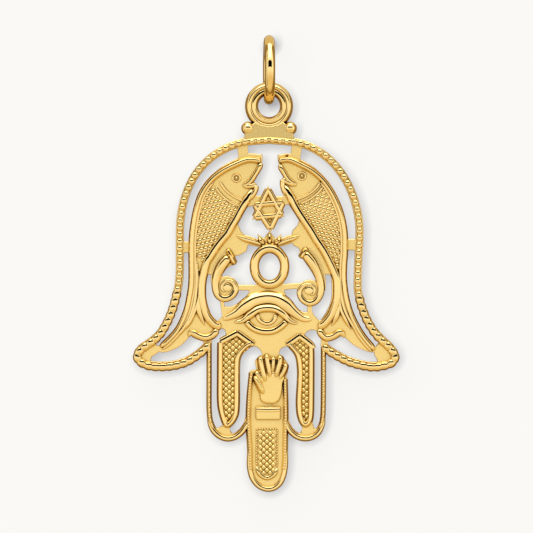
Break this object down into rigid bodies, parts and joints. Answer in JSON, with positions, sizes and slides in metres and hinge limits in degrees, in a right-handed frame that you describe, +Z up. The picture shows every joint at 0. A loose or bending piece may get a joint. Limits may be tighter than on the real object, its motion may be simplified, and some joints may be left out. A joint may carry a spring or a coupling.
{
  "type": "hamsa pendant",
  "caption": "Pierced gold hamsa pendant with cast relief, a soldered top loop and a round jump ring that it swings from.",
  "frame": {"origin": "inside top of the jump ring, where the chain that carries the pendant seats", "axes": "+Z up along the hanging pendant, +X to the viewer's right, the relief faces -Y"},
  "size_m": [0.0199, 0.0052, 0.0342],
  "materials": {
    "polished_gold": "polished 14k yellow gold wire",
    "cast_gold": "cast 14k yellow gold, satin in the flats and polished on the ridges"
  },
  "bodies": {
    "ring": {"jump_ring": "polished_gold"},
    "pendant": {"hamsa": "cast_gold"}
  },
  "joints": [
    {"name": "swing", "type": "hinge", "parent": "ring", "child": "pendant", "pos_m": [0, 0, -0.00323], "axis": [1, 0, 0], "range_deg": [-85, 85]}
  ]
}
